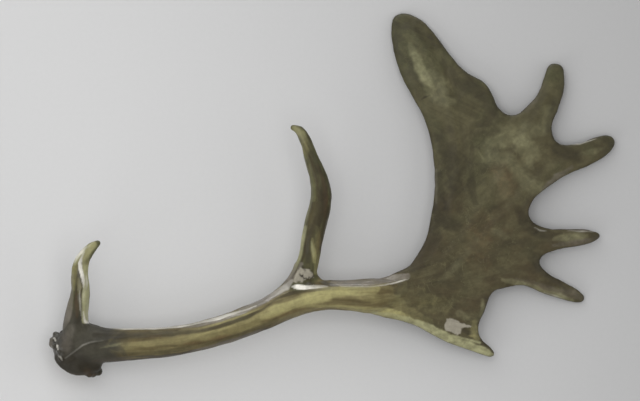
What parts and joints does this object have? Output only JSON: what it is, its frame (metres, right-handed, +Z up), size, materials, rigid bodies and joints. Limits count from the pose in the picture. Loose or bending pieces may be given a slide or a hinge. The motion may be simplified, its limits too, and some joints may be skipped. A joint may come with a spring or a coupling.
{
  "type": "fallow deer antler",
  "caption": "Shed fallow deer antler, lying flat: beaded burr, curved beam, brow and trez tines and a broad palm with fingers.",
  "frame": {"origin": "on the ground under the middle of the antler's bounding box", "axes": "+X from the burr to the finger tips, +Y from the palm's lower edge to its top lobe, +Z up out of the palm's broad face"},
  "size_m": [0.567, 0.3646, 0.0811],
  "materials": {
    "beam": "satin",
    "brow_tine": "satin",
    "trez_tine": "satin",
    "palm": "satin"
  },
  "bodies": {
    "root": {"beam": "beam", "brow_tine": "brow_tine", "trez_tine": "trez_tine", "palm": "palm"}
  },
  "joints": []
}
